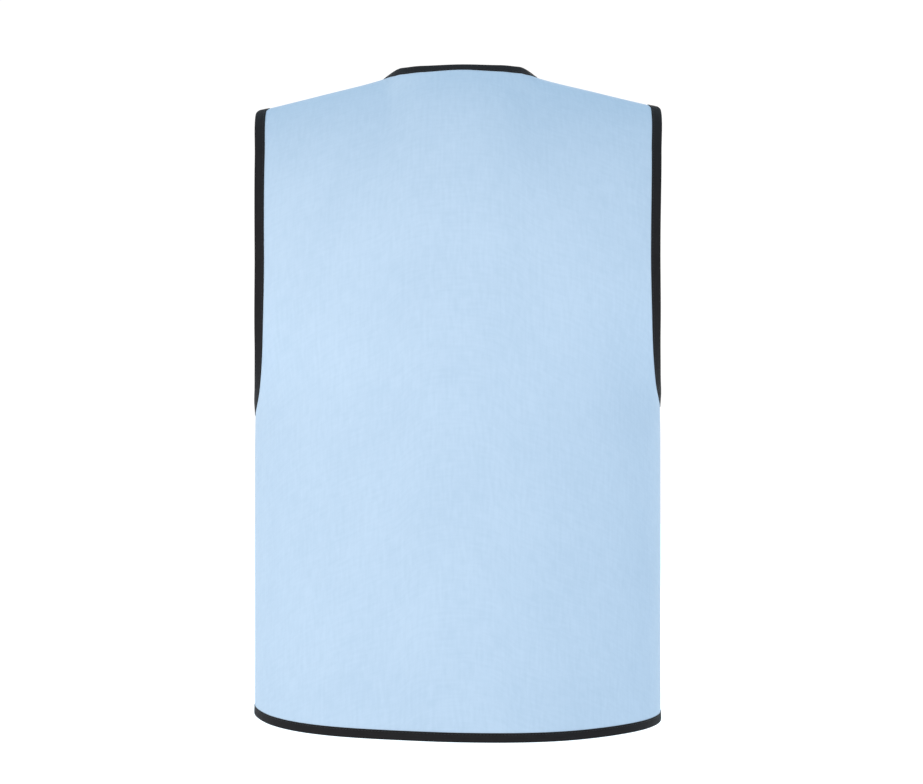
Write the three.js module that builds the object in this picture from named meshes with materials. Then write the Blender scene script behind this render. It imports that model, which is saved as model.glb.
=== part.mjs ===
// Identification vest: a boxy sleeveless vest of thin woven cloth. Its neck, armholes and hem are
// bound in folded tape, and a zip closes the front.
// Millimetres, +Z up. The back faces -Y and the wearer's right is +X. The origin lies midway between
// the two points where the neck meets the shoulders.

import * as THREE from 'three';

// Cloth and tape
const CLOTH = 1.2; // thickness of the cloth wall
const TAPE = 1.0; // thickness of each leg of the folded tape
const TAPE_GAP = 0.3; // clearance between cloth and tape
const ARMHOLE_TAPE_WIDTH = 9.5; // how far the tape reaches over the cloth at the armholes
const NECK_TAPE_WIDTH = 10.6; // at the neck
const HEM_TAPE_WIDTH = 8; // and at the hem
const SEAM_GAP = 0.4; // clearance between two panels where they are sewn together

// Body of the vest
const SIDE_HALF = 209; // centre to side seam
const FLARE = 72; // how much wider the flat upper sections are, beyond the armhole edge
const FLARE_RUN = 160; // height over which they widen, upwards from a little below the underarm
const FLARE_START = 6; // how far below the underarm they start to widen
const UNDERARM_DROP = 355; // ridge to underarm
const UNDERARM_TUCK = 0.6; // how far the binding draws the sides in at the underarm
const TUCK_REACH = 45; // height over which that fades, above and below
const HEM_DROP = 677; // ridge to the cloth's lower edge
const CAP_DROP = 200; // height of the rounded shoulder, from the ridge to the shoulder blades
const LEVEL_DROP = 330; // below this a section is level, above it follows the slope of the shoulders

// Neck, measured at the cloth's edge
const NECK_HALF = 71; // centre to the edge, on the ridge
const NECK_BACK = 47; // ridge to the edge, at the centre of the back
const NECK_SQUARENESS = 2.6; // 2 is an ellipse, more is flatter across the back
const V_HEIGHT = -188; // where the two front edges meet

// How the vest hangs: the rise for each metre towards the right, by drop below the ridge. The right
// shoulder and underarm sit a little higher, and the hem a little lower.
const TILT = [
  { drop: 0, rise: 9.5 },
  { drop: 355, rise: 22 },
  { drop: 677, rise: -16 },
];
const NECK_SHIFT = 3.3; // the neck sits a little to the right of the body's centre
const NECK_SHIFT_DROP = 170; // drop over which that fades

// Ridge of the shoulders by distance out from the centre: its own height, where it rises to the neck,
// and the softer line that the cloth below it follows
const RIDGE = [
  { out: 0, height: 21, below: 19.2 },
  { out: 40, height: 20, below: 12.8 },
  { out: 60, height: 14, below: 2.5 },
  { out: 70, height: 6.2, below: -3 },
  { out: 79, height: 0, below: -5 },
  { out: 140, height: -15.3, below: -17 },
  { out: 206, height: -31, below: -31 },
  { out: 290, height: -49, below: -49 },
];
const NECK_RISE_DROP = 28; // drop over which the rise to the neck fades

// Depth of the back and of the front at the centre, by drop below the ridge
const DEPTHS = [
  { drop: 0, back: 132, front: 114 },
  { drop: 190, back: 137, front: 126 },
  { drop: 280, back: 142, front: 134 },
  { drop: 375, back: 142.5, front: 140 },
  { drop: 450, back: 144.5, front: 141 },
  { drop: 530, back: 148, front: 144.5 },
  { drop: 610, back: 149, front: 147 },
  { drop: 677, back: 155, front: 150 },
];

// Distance of the armhole's edge from the centre, by drop below the ridge
const ARMHOLE = [
  { drop: 0, out: 204.6 },
  { drop: 5, out: 206.4 },
  { drop: 60, out: 202.5 },
  { drop: 190, out: 198.8 },
  { drop: 285, out: 200.8 },
  { drop: 330, out: 204.4 },
  { drop: 355, out: 208.7 },
  { drop: 380, out: 213.5 },
];

// Zip: half widths and heights of its section, by distance down from its upper end
const ZIP_GAP = 3.2; // centre to the cloth's front edge
const ZIP_NECK_HALF = 2.4; // half width of the chain between the two cloth edges
const ZIP_TAPE_TOP = -1.3; // outer face of the zip's tape, behind the cloth
const ZIP = [
  { down: 0, tape: 2.8, head: 2.8, base: 0.9, top: 1.5 },
  { down: 5, tape: 2.8, head: 2.8, base: 0.9, top: 1.5 },
  { down: 5.5, tape: 2.8, head: 2.8, base: 2.3, top: 3.8 },
  { down: 6, tape: 2.8, head: 4.6, base: 2.3, top: 5.2 },
  { down: 17, tape: 2.8, head: 3.9, base: 2.3, top: 5.2 },
  { down: 18, tape: 2.8, head: 3.2, base: 2.3, top: 3.8 },
  { down: 44, tape: 2.8, head: 3.2, base: 2.3, top: 3.8 },
  { down: 45, tape: 2.8, head: 2.8, base: 0.9, top: 1.5 },
  { down: 50, tape: 2.8, head: 2.8, base: 0.9, top: 1.5 },
  { down: 51, tape: 13, head: 2.8, base: 0.9, top: 1.5 },
];
const ZIP_TAPE_END = 13; // height above the hem at which the zip's tape ends
const ZIP_STEPS = 18; // sections between the slider and the tape's lower end

// Mesh
const ROWS = 22; // rows of cloth between the top edge and the hem's tape
const ARMHOLE_ROWS = 13; // how many of them end on the armhole
const NECK_COLUMNS = 8; // columns of half a panel that start on the neck
const SHOULDER_COLUMNS = 8; // columns that start on the shoulder
const WELD = 0.005; // vertices nearer than this are one

// Colours
const CLOTH_BLUE = 0xc1d9f1;
const TAPE_BLACK = 0x2b292c;
const ZIP_BLACK = 0x202022;

const METRE = 1000;
const BACK = -1;
const FRONT = 1;
const RIGHT_ANGLE = Math.PI / 2;
const CAP_ARC = CAP_DROP * RIGHT_ANGLE; // drop for each unit of fall below the rounded shoulder
const { smoothstep, lerp, clamp } = THREE.MathUtils;

// A smooth curve through one column of a table against another that rises, level at both ends.
function read(table, key, column, at) {
  const last = table.length - 1;
  const place = clamp(at, table[0][key], table[last][key]);
  let i = 0;
  while (i < last - 1 && place > table[i + 1][key]) i += 1;
  const slope = (k) => {
    if (k === 0 || k === last) return 0;
    return (table[k + 1][column] - table[k - 1][column]) / (table[k + 1][key] - table[k - 1][key]);
  };
  const run = table[i + 1][key] - table[i][key];
  const t = (place - table[i][key]) / run;
  const rise = t * t * (3 - 2 * t);
  const bend = run * t * (1 - t) * ((1 - t) * slope(i) - t * slope(i + 1));
  return lerp(table[i][column], table[i + 1][column], rise) + bend;
}

// The value between low and high at which a rising function reaches a target.
function solve(rising, target, low, high) {
  let below = low;
  let above = high;
  for (let i = 0; i < 50; i += 1) {
    const middle = (below + above) / 2;
    if (rising(middle) < target) below = middle;
    else above = middle;
  }
  return (below + above) / 2;
}

// Fall counts down the cloth: 0 on the ridge of the shoulders, 1 at the shoulder blades.
function dropAt(fall) {
  const roll = Math.min(fall, 1) * RIGHT_ANGLE;
  return CAP_DROP * (1 - Math.cos(roll)) + Math.max(fall - 1, 0) * CAP_ARC;
}

function fallAt(drop) {
  if (drop > CAP_DROP) return 1 + (drop - CAP_DROP) / CAP_ARC;
  return Math.acos(1 - drop / CAP_DROP) / RIGHT_ANGLE;
}

function halfWidthAt(fall) {
  const above = UNDERARM_DROP - dropAt(fall);
  const flare = FLARE * smoothstep(above + FLARE_START, 0, FLARE_RUN);
  const tuck = UNDERARM_TUCK * (1 - smoothstep(Math.abs(above), 0, TUCK_REACH));
  return SIDE_HALF + flare - tuck;
}

// Turn counts round the body from the centre of the back or front: a right angle at the side seam.
function turnAt(out, fall) {
  return Math.asin(Math.min(out / halfWidthAt(fall), 1));
}

// A point on the middle of the cloth wall. Its place is { turn, fall }.
function clothPoint(side, place, gap = SEAM_GAP) {
  const drop = dropAt(place.fall);
  const reach = Math.sin(Math.min(place.fall, 1) * RIGHT_ANGLE);
  const depth = read(DEPTHS, 'drop', side === BACK ? 'back' : 'front', drop);
  const out = halfWidthAt(place.fall) * Math.sin(place.turn);
  const shift = NECK_SHIFT * (1 - smoothstep(drop, 0, NECK_SHIFT_DROP)) * Math.cos(place.turn) ** 4;
  const x = out + shift;
  const y = side * (gap / 2 + depth * reach * Math.cos(place.turn));
  const ridge = (column) => read(RIDGE, 'out', column, Math.abs(out));
  const line = lerp(ridge('height'), ridge('below'), smoothstep(drop, 0, NECK_RISE_DROP));
  const slope = 1 - smoothstep(drop, 0, LEVEL_DROP);
  const top = RIDGE[0].height;
  const level = top - drop + slope * (line - top);
  const tilt = read(TILT, 'drop', 'rise', drop) / METRE;
  return new THREE.Vector3(x, y, level + tilt * x);
}

// The two directions along the cloth at a place, and its outward normal.
function clothFrame(side, place) {
  const step = 0.002;
  const across = clothPoint(side, { turn: place.turn + step, fall: place.fall })
    .sub(clothPoint(side, { turn: place.turn - step, fall: place.fall }))
    .divideScalar(2 * step);
  const down = clothPoint(side, { turn: place.turn, fall: place.fall + step })
    .sub(clothPoint(side, { turn: place.turn, fall: place.fall - step }))
    .divideScalar(2 * step);
  const normal = new THREE.Vector3().crossVectors(across, down).multiplyScalar(side).normalize();
  return { across, down, normal };
}

// A vertex of the cloth's middle: its point and its normal.
function clothVertex(side, place, gap = SEAM_GAP) {
  return { point: clothPoint(side, place, gap), normal: clothFrame(side, place).normal };
}

// The place a step away along the cloth, for a step that lies along the surface.
function stepAlong(side, place, step) {
  const { across, down } = clothFrame(side, place);
  const aa = across.dot(across);
  const ad = across.dot(down);
  const dd = down.dot(down);
  const sa = across.dot(step);
  const sd = down.dot(step);
  const size = aa * dd - ad * ad;
  return {
    turn: place.turn + (sa * dd - sd * ad) / size,
    fall: place.fall + (sd * aa - sa * ad) / size,
  };
}

// The places a tape's width in from an edge, square to it. Seen from outside, the cloth lies to the
// right of the edge on the back and to its left on the front.
function insetEdge(side, edge, width) {
  return edge.map((place, i) => {
    const before = clothPoint(side, edge[Math.max(i - 1, 0)]);
    const after = clothPoint(side, edge[Math.min(i + 1, edge.length - 1)]);
    const tangent = after.sub(before).normalize();
    const { normal } = clothFrame(side, place);
    const inward = new THREE.Vector3().crossVectors(normal, tangent).multiplyScalar(side);
    return stepAlong(side, place, inward.multiplyScalar(width));
  });
}

// Evenly spaced places along a finely drawn edge.
function evenPlaces(side, fine, count) {
  const lengths = [0];
  for (let i = 1; i < fine.length; i += 1) {
    const gap = clothPoint(side, fine[i]).distanceTo(clothPoint(side, fine[i - 1]));
    lengths.push(lengths[i - 1] + gap);
  }
  const total = lengths[lengths.length - 1];
  const places = [];
  for (let k = 0; k <= count; k += 1) {
    const target = (total * k) / count;
    let i = 1;
    while (i < fine.length - 1 && lengths[i] < target) i += 1;
    const t = (target - lengths[i - 1]) / (lengths[i] - lengths[i - 1]);
    places.push({
      turn: lerp(fine[i - 1].turn, fine[i].turn, t),
      fall: lerp(fine[i - 1].fall, fine[i].fall, t),
    });
  }
  return places;
}

const FINE = 400; // points of a finely drawn edge

// Edge of half an armhole, from the ridge to the underarm, and the line where its tape ends.
function armholeLines(side) {
  const bottom = fallAt(UNDERARM_DROP);
  const fine = [];
  for (let i = 0; i <= FINE; i += 1) {
    const fall = bottom * (1 - (1 - i / FINE) ** 2);
    fine.push({ turn: turnAt(read(ARMHOLE, 'drop', 'out', dropAt(fall)), fall), fall });
  }
  const edge = evenPlaces(side, fine, ARMHOLE_ROWS);
  const band = insetEdge(side, edge, ARMHOLE_TAPE_WIDTH);
  band[0].fall = 0;
  band[ARMHOLE_ROWS] = { turn: RIGHT_ANGLE, fall: bottom + ARMHOLE_TAPE_WIDTH / CAP_ARC };
  return { edge, band };
}

// How far behind the ridge the neck's edge lies, by distance out from the centre.
function neckDepth(out) {
  return NECK_BACK * (1 - (out / NECK_HALF) ** NECK_SQUARENESS) ** (1 / NECK_SQUARENESS);
}

// Edge of half the back of the neck, from the centre to the ridge.
function backNeckLines() {
  const fine = [];
  for (let i = 0; i <= FINE; i += 1) {
    const angle = (RIGHT_ANGLE * i) / FINE;
    const out = NECK_HALF * Math.sin(angle);
    const depth = (fall) => -clothPoint(BACK, { turn: turnAt(out, fall), fall }, 0).y;
    const fall = solve(depth, neckDepth(out), 0, 1);
    fine.push({ turn: turnAt(out, fall), fall });
  }
  const edge = evenPlaces(BACK, fine, NECK_COLUMNS);
  const band = insetEdge(BACK, edge, NECK_TAPE_WIDTH);
  band[0].turn = 0;
  band[NECK_COLUMNS].fall = 0;
  return { edge, band };
}

// Edge of half the front of the neck, from the zip to the ridge.
function frontNeckLines() {
  const top = read(RIDGE, 'out', 'height', NECK_HALF);
  const bottom = fallAt(RIDGE[0].height - V_HEIGHT);
  const fine = [];
  for (let i = 0; i <= FINE; i += 1) {
    const fall = bottom * (1 - i / FINE);
    let out = NECK_HALF;
    for (let n = 0; n < 20; n += 1) {
      const { z } = clothPoint(FRONT, { turn: turnAt(out, fall), fall });
      out = lerp(NECK_HALF, ZIP_GAP, clamp((top - z) / (top - V_HEIGHT), 0, 1));
    }
    fine.push({ turn: turnAt(out, fall), fall });
  }
  const edge = evenPlaces(FRONT, fine, NECK_COLUMNS);
  const band = insetEdge(FRONT, edge, NECK_TAPE_WIDTH);
  const lowest = clothPoint(FRONT, band[0]);
  const next = clothPoint(FRONT, band[1]);
  const share = (lowest.x - ZIP_GAP) / (next.x - lowest.x);
  band[0].fall -= share * (band[1].fall - band[0].fall);
  band[0].turn = turnAt(ZIP_GAP, band[0].fall);
  band[NECK_COLUMNS].fall = 0;
  return { edge, band };
}

// Places of half a panel between its top edge and the hem's tape, filled in from its four sides.
function fillPanel(top, bottom, inner, outer) {
  const columns = top.length - 1;
  const rows = inner.length - 1;
  const grid = [];
  for (let k = 0; k <= rows; k += 1) {
    const v = k / rows;
    const row = [];
    for (let j = 0; j <= columns; j += 1) {
      const u = j / columns;
      const blend = (name) => {
        const sides = lerp(inner[k][name], outer[k][name], u);
        const ends = lerp(top[j][name], bottom[j][name], v);
        const corners = lerp(
          lerp(top[0][name], top[columns][name], u),
          lerp(bottom[0][name], bottom[columns][name], u),
          v,
        );
        return sides + ends - corners;
      };
      row.push({ turn: blend('turn'), fall: blend('fall') });
    }
    grid.push(row);
  }
  return grid;
}

// All the places of half a panel: the main field and the strips under the tapes.
function layOutHalf(side) {
  const neck = side === BACK ? backNeckLines() : frontNeckLines();
  const armhole = armholeLines(side);
  const hem = fallAt(HEM_DROP);
  const hemBand = hem - HEM_TAPE_WIDTH / CAP_ARC;
  const centreTurn = (fall) => (side === BACK ? 0 : turnAt(ZIP_GAP, fall));
  const columns = NECK_COLUMNS + SHOULDER_COLUMNS;

  const top = [...neck.band];
  for (let j = 1; j <= SHOULDER_COLUMNS; j += 1) {
    const turn = lerp(neck.band[NECK_COLUMNS].turn, armhole.band[0].turn, j / SHOULDER_COLUMNS);
    top.push({ turn, fall: 0 });
  }
  const bottom = [];
  for (let j = 0; j <= columns; j += 1) {
    bottom.push({ turn: lerp(centreTurn(hemBand), RIGHT_ANGLE, j / columns), fall: hemBand });
  }
  const inner = [];
  for (let k = 0; k <= ROWS; k += 1) {
    const fall = lerp(neck.band[0].fall, hemBand, k / ROWS);
    inner.push({ turn: centreTurn(fall), fall });
  }
  const outer = [...armhole.band];
  const underarm = armhole.band[ARMHOLE_ROWS].fall;
  for (let k = ARMHOLE_ROWS + 1; k <= ROWS; k += 1) {
    const share = (k - ARMHOLE_ROWS) / (ROWS - ARMHOLE_ROWS);
    outer.push({ turn: RIGHT_ANGLE, fall: lerp(underarm, hemBand, share) });
  }
  const field = fillPanel(top, bottom, inner, outer);
  const hemEdge = bottom.map((place) => ({ turn: place.turn, fall: hem }));
  return { field, neck, armhole, hem: { edge: hemEdge, band: bottom } };
}

const mirrored = (place) => ({ turn: -place.turn, fall: place.fall });

// A closed wall from quads of the middle surface, each a list of four vertices.
function wallGeometry(quads) {
  const numbers = new Map();
  const outerSkin = [];
  const innerSkin = [];
  const indexOf = (vertex) => {
    const key = vertex.point.toArray().map((value) => Math.round(value / WELD)).join(' ');
    if (!numbers.has(key)) {
      numbers.set(key, outerSkin.length);
      outerSkin.push(vertex.point.clone().addScaledVector(vertex.normal, CLOTH / 2));
      innerSkin.push(vertex.point.clone().addScaledVector(vertex.normal, -CLOTH / 2));
    }
    return numbers.get(key);
  };
  const faces = quads.map((quad) => quad.map(indexOf));
  const count = outerSkin.length;
  const triangles = [];
  const edges = new Map();
  for (const [a, b, c, d] of faces) {
    for (const [p, q, r] of splitQuad(outerSkin, a, b, c, d)) {
      triangles.push(p, q, r, p + count, r + count, q + count);
    }
    for (const [p, q] of [[a, b], [b, c], [c, d], [d, a]]) {
      if (edges.has(`${q} ${p}`)) edges.delete(`${q} ${p}`);
      else edges.set(`${p} ${q}`, [p, q]);
    }
  }
  for (const [p, q] of edges.values()) {
    triangles.push(q, p, p + count, q, p + count, q + count);
  }
  return indexedGeometry([...outerSkin, ...innerSkin], triangles);
}

// The two triangles of a quad, cut along its shorter diagonal.
function splitQuad(points, a, b, c, d) {
  if (points[a].distanceTo(points[c]) < points[b].distanceTo(points[d])) return [[a, b, c], [a, c, d]];
  return [[b, c, d], [b, d, a]];
}

function indexedGeometry(points, triangles) {
  const geometry = new THREE.BufferGeometry();
  const numbers = points.flatMap((point) => point.toArray());
  geometry.setAttribute('position', new THREE.Float32BufferAttribute(numbers, 3));
  geometry.setIndex(triangles);
  geometry.computeVertexNormals();
  return geometry;
}

// Quads of half a panel, on the wearer's right or mirrored to the left, wound to face outwards.
function halfQuads(side, half, hand) {
  const place = hand > 0 ? (p) => p : mirrored;
  const vertex = (p) => clothVertex(side, place(p));
  const quads = [];
  const addStrip = (upper, lower) => {
    for (let j = 1; j < upper.length; j += 1) {
      const quad = [upper[j - 1], lower[j - 1], lower[j], upper[j]].map(vertex);
      quads.push(side * hand < 0 ? quad : quad.reverse());
    }
  };
  for (let k = 1; k < half.field.length; k += 1) addStrip(half.field[k - 1], half.field[k]);
  addStrip(half.neck.edge, half.neck.band);
  addStrip(half.hem.band, half.hem.edge);
  addStrip(half.armhole.edge, half.armhole.band);
  return quads;
}

// Section of the folded tape: each corner is set in from the cloth's edge or from the band, the line
// where the tape ends, and out from the middle of the cloth.
const LEG_IN = CLOTH / 2 + TAPE_GAP;
const LEG_OUT = LEG_IN + TAPE;
const FOLD_IN = -TAPE_GAP;
const FOLD_OUT = FOLD_IN - TAPE;
const ROUND_IN = FOLD_OUT * 0.75; // a corner halfway round the fold
const ROUND_OUT = LEG_OUT * 0.66;
const TAPE_SECTION = [
  { from: 'band', inset: 0, out: LEG_OUT },
  { from: 'edge', inset: 0, out: LEG_OUT },
  { from: 'edge', inset: ROUND_IN, out: ROUND_OUT },
  { from: 'edge', inset: FOLD_OUT, out: 0 },
  { from: 'edge', inset: ROUND_IN, out: -ROUND_OUT },
  { from: 'edge', inset: 0, out: -LEG_OUT },
  { from: 'band', inset: 0, out: -LEG_OUT },
  { from: 'band', inset: 0, out: -LEG_IN },
  { from: 'edge', inset: FOLD_IN, out: -LEG_IN },
  { from: 'edge', inset: FOLD_IN, out: LEG_IN },
  { from: 'band', inset: 0, out: LEG_IN },
];

// One section of tape, at a station of the cloth's edge and the tape's inner end.
function tapeRing(station) {
  const inward = station.band.point.clone().sub(station.edge.point).normalize();
  return TAPE_SECTION.map(({ from, inset, out }) => {
    const { point, normal } = station[from];
    return point.clone().addScaledVector(inward, inset).addScaledVector(normal, out);
  });
}

// A closed body through rings of points. An open run of rings gets the two end faces.
function sweepGeometry(rings, section, closed) {
  const size = section.length;
  const points = rings.flat();
  const triangles = [];
  const spans = closed ? rings.length : rings.length - 1;
  for (let i = 0; i < spans; i += 1) {
    const near = i * size;
    const far = ((i + 1) % rings.length) * size;
    for (let j = 0; j < size; j += 1) {
      const next = (j + 1) % size;
      triangles.push(...splitQuad(points, near + j, near + next, far + next, far + j).flat());
    }
  }
  if (!closed) {
    const end = (rings.length - 1) * size;
    for (const [a, b, c] of THREE.ShapeUtils.triangulateShape(section, [])) {
      triangles.push(a, c, b, end + a, end + b, end + c);
    }
  }
  return indexedGeometry(points, outwards(points, triangles));
}

// The triangles wound so that the body they close has its faces outwards.
function outwards(points, triangles) {
  let volume = 0;
  for (let i = 0; i < triangles.length; i += 3) {
    const [a, b, c] = [0, 1, 2].map((k) => points[triangles[i + k]]);
    volume += a.dot(new THREE.Vector3().crossVectors(b, c));
  }
  return volume > 0 ? triangles : triangles.reverse();
}

// Stations of a tape along one half panel's lines.
function stations(side, lines, hand) {
  const place = hand > 0 ? (p) => p : mirrored;
  return lines.edge.map((edge, i) => ({
    edge: clothVertex(side, place(edge), 0),
    band: clothVertex(side, place(lines.band[i]), 0),
  }));
}

function tapeGeometry(run, closed) {
  const section = TAPE_SECTION.map(({ from, inset, out }) => {
    return new THREE.Vector2(from === 'band' ? HEM_TAPE_WIDTH : inset, out);
  });
  return sweepGeometry(run.map(tapeRing), section, closed);
}

const backHalf = layOutHalf(BACK);
const frontHalf = layOutHalf(FRONT);

function armholeTape(hand) {
  const back = stations(BACK, backHalf.armhole, hand);
  const front = stations(FRONT, frontHalf.armhole, hand);
  return tapeGeometry([...back, ...front.slice(1, -1).reverse()], true);
}

// The neck's tape or the hem's, from the left of the zip round the back to its right.
function roundTape(edge) {
  const front = (hand) => stations(FRONT, frontHalf[edge], hand);
  const back = (hand) => stations(BACK, backHalf[edge], hand);
  const left = [...front(-1), ...back(-1).reverse().slice(1)];
  const right = [...back(1).slice(1), ...front(1).reverse().slice(1)];
  return tapeGeometry([...left, ...right], false);
}

// Zip: one plain piece, with its tape behind the cloth, its chain between the two front edges and
// its slider and pull at the top.
function zipGeometry() {
  const upper = frontHalf.neck.edge[0].fall;
  const hem = fallAt(HEM_DROP);
  const length = (hem - upper) * CAP_ARC;
  const last = ZIP[ZIP.length - 1];
  const rows = [...ZIP];
  const tapeEnd = length - ZIP_TAPE_END;
  for (let i = 1; i <= ZIP_STEPS; i += 1) {
    rows.push({ ...last, down: lerp(last.down, tapeEnd, i / ZIP_STEPS) });
  }
  rows.push({ ...ZIP[0], down: tapeEnd + 1 });
  rows.push({ ...ZIP[0], down: length });
  const corners = ({ tape, head, base, top }) => [
    { x: tape, out: ZIP_TAPE_TOP - TAPE },
    { x: tape, out: ZIP_TAPE_TOP },
    { x: ZIP_NECK_HALF, out: ZIP_TAPE_TOP },
    { x: ZIP_NECK_HALF, out: base },
    { x: head, out: base },
    { x: head, out: top },
    { x: -head, out: top },
    { x: -head, out: base },
    { x: -ZIP_NECK_HALF, out: base },
    { x: -ZIP_NECK_HALF, out: ZIP_TAPE_TOP },
    { x: -tape, out: ZIP_TAPE_TOP },
    { x: -tape, out: ZIP_TAPE_TOP - TAPE },
  ];
  const rings = rows.map((row) => {
    const { point, normal } = clothVertex(FRONT, { turn: 0, fall: upper + row.down / CAP_ARC }, 0);
    return corners(row).map(({ x, out }) => {
      const corner = point.clone().addScaledVector(normal, out);
      corner.x += x;
      return corner;
    });
  });
  const section = corners(ZIP[0]).map(({ x, out }) => new THREE.Vector2(x, out));
  return sweepGeometry(rings, section, false);
}

function piece(name, geometry, color, roughness) {
  const material = new THREE.MeshStandardMaterial({ color, roughness, metalness: 0 });
  const mesh = new THREE.Mesh(geometry, material);
  mesh.name = name;
  return mesh;
}

const clothPiece = (name, quads) => piece(name, wallGeometry(quads), CLOTH_BLUE, 0.85);
const tapePiece = (name, geometry) => piece(name, geometry, TAPE_BLACK, 0.8);

const vest = new THREE.Group();
vest.name = 'identification_vest';
vest.add(
  clothPiece('back_panel', [...halfQuads(BACK, backHalf, 1), ...halfQuads(BACK, backHalf, -1)]),
  clothPiece('front_panel_right', halfQuads(FRONT, frontHalf, 1)),
  clothPiece('front_panel_left', halfQuads(FRONT, frontHalf, -1)),
  tapePiece('neck_binding', roundTape('neck')),
  tapePiece('armhole_binding_right', armholeTape(1)),
  tapePiece('armhole_binding_left', armholeTape(-1)),
  tapePiece('hem_binding', roundTape('hem')),
  piece('front_zip', zipGeometry(), ZIP_BLACK, 0.55),
);

export default vest;
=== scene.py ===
"""Looks of the identification vest: woven cloth panels, folded binding tape, stitching and the zip.

Metres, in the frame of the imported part: the back faces -Y, +Z is up and the wearer's right is +X.
"""

import bmesh
import bpy
import numpy as np
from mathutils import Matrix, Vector


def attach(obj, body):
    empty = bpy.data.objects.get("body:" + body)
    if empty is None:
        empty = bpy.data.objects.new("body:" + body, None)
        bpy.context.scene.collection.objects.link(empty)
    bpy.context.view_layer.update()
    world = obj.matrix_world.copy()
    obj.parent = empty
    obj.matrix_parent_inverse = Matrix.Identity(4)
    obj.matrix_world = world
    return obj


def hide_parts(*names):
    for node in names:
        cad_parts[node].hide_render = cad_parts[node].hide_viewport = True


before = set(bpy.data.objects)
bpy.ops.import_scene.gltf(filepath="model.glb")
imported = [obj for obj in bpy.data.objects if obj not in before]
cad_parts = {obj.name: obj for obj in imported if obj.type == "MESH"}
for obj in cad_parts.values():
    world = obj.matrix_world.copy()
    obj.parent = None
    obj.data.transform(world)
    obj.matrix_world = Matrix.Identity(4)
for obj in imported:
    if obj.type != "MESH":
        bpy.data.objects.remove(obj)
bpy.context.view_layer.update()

MM = 0.001
BACK = -1
FRONT = 1
RIGHT_ANGLE = np.pi / 2


def columns(names, rows):
    """A table of millimetres as named columns in metres."""
    return {name: np.array([row[i] for row in rows]) * MM for i, name in enumerate(names.split())}


# Shape of the vest, as in the part's source
SIDE_HALF = 209 * MM  # centre to side seam
FLARE = 72 * MM  # how much wider the flat upper sections are, beyond the armhole edge
FLARE_RUN = 160 * MM  # height over which they widen
FLARE_START = 6 * MM  # how far below the underarm they start to widen
UNDERARM_DROP = 355 * MM
UNDERARM_TUCK = 0.6 * MM  # how far the binding draws the sides in at the underarm
TUCK_REACH = 45 * MM  # height over which that fades, above and below
HEM_DROP = 677 * MM
CAP_DROP = 200 * MM  # height of the rounded shoulder
CAP_ARC = CAP_DROP * RIGHT_ANGLE  # drop for each unit of fall below the rounded shoulder
LEVEL_DROP = 330 * MM  # below this a section is level
NECK_HALF = 71 * MM
NECK_BACK = 47 * MM  # how far the neck reaches behind the ridge of the shoulders
NECK_SQUARENESS = 2.6
NECK_RISE_DROP = 28 * MM  # drop over which the line of the ridge turns into the one below it
V_HEIGHT = -188 * MM  # point of the V-neck
NECK_SHIFT = 3.3 * MM  # the neck sits a little to the right of the body's centre
NECK_SHIFT_DROP = 170 * MM  # drop over which that fades
NECK_SHIFT_POWER = 4  # the higher, the sooner it fades towards the sides
ZIP_GAP = 3.2 * MM  # centre to the cloth's front edge
RIDGE = columns("out height below", [  # line of the shoulders at the ridge, and a little below it
    (0, 21, 19.2),
    (40, 20, 12.8),
    (60, 14, 2.5),
    (70, 6.2, -3),
    (79, 0, -5),
    (140, -15.3, -17),
    (206, -31, -31),
    (290, -49, -49),
])
TILT = columns("drop rise", [  # rise for each metre towards the right
    (0, 9.5),
    (355, 22),
    (677, -16),
])
DEPTHS = columns("drop back front", [  # distance of the back and the front from the side seams
    (0, 132, 114),
    (190, 137, 126),
    (280, 142, 134),
    (375, 142.5, 140),
    (450, 144.5, 141),
    (530, 148, 144.5),
    (610, 149, 147),
    (677, 155, 150),
])
ARMHOLE = columns("drop out", [  # distance of the armhole's edge from the centre
    (0, 204.6),
    (5, 206.4),
    (60, 202.5),
    (190, 198.8),
    (285, 200.8),
    (330, 204.4),
    (355, 208.7),
    (380, 213.5),
])

# How much lower the back's hem hangs than in the plain solid, from the left side seam to the right
HEM_SAG = columns("out sag", [
    (-209, 0),
    (-185, 1.6),
    (-150, 2),
    (-60, 0.45),
    (0, 0.6),
    (95, 1.2),
    (165, 0.2),
    (209, 0),
])
SAG_REACH = 120 * MM  # height over which that fades

# Cloth and tape as they look
CLOTH = 0.7 * MM  # thickness
SEAM_GAP = 0.04 * MM  # between two panels where they are sewn together
SEAM_DIP = 0.7 * MM  # how far the cloth is drawn in along a seam
SEAM_REACH = 4 * MM  # how far from the seam that is seen
SEAM_FADE = 24 * MM  # distance from a bound edge at which it is seen in full
ARMHOLE_TAPE_WIDTH = 9.5 * MM
NECK_TAPE_WIDTH = 10.6 * MM
HEM_TAPE_WIDTH = 8 * MM
TAPE_STEP = 3 * MM  # distance between two sections of tape
TAPE_STITCH_AT = 0.2  # place of the stitching, as a share of the width from the tape's inner edge

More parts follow.
